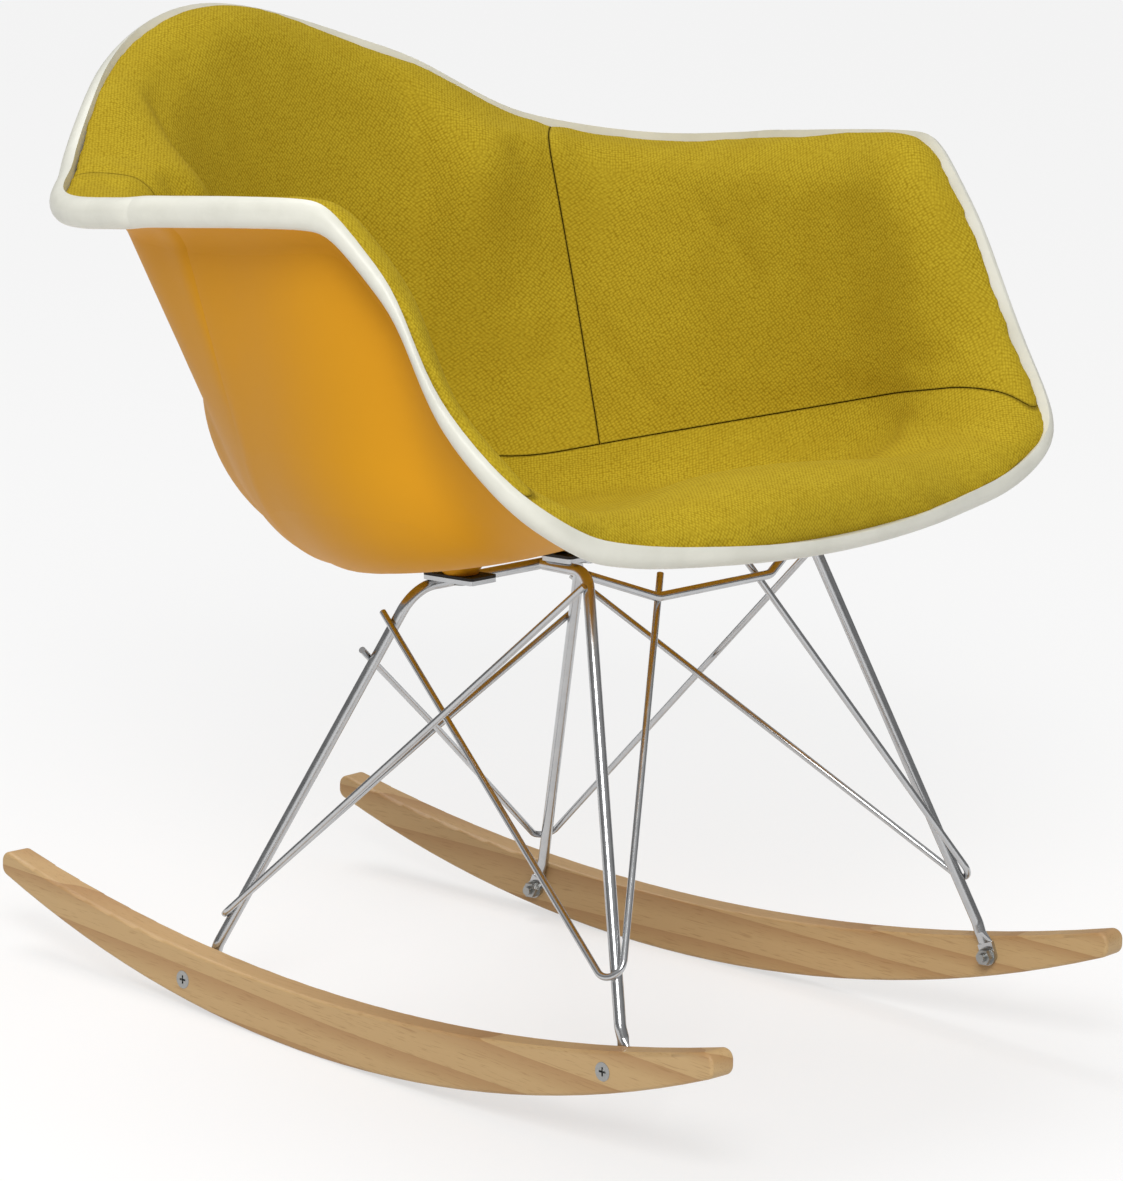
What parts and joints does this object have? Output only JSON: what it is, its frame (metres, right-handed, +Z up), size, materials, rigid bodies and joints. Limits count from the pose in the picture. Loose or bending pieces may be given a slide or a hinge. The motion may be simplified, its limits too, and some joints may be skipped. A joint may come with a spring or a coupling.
{
  "type": "upholstered moulded rocking armchair",
  "caption": "Moulded plastic armchair shell with mustard upholstery and a cream edge, on a chromed wire base with wooden rockers.",
  "frame": {"origin": "on the floor under the middle of the chair's bounding box", "axes": "+Z up, the chair faces -Y, +X to the sitter's left"},
  "size_m": [0.6418, 0.7058, 0.6617],
  "materials": {
    "shell": "satin moulded surface",
    "upholstery": "fine basket weave",
    "edge": "soft vinyl",
    "chrome": "satin chrome",
    "steel": "zinc plated",
    "rubber": "matt",
    "wood": "clear matt lacquer"
  },
  "bodies": {
    "root": {"seat_shell": "shell", "seat_pad": "upholstery", "back_pad": "upholstery", "left_arm_pad": "upholstery", "right_arm_pad": "upholstery", "edge_trim": "edge", "threaded_inserts": "steel", "spacer_pads": "rubber", "mount_plates": "chrome", "mount_screws": "steel", "rear_frame": "chrome", "left_front_leg": "chrome", "right_front_leg": "chrome", "front_cross_wire": "chrome", "left_front_brace": "chrome", "right_front_brace": "chrome", "left_rear_brace": "chrome", "right_rear_brace": "chrome", "left_rocker": "wood", "right_rocker": "wood", "rocker_screws": "steel", "rocker_washers": "steel", "rocker_nuts": "steel"}
  },
  "joints": []
}
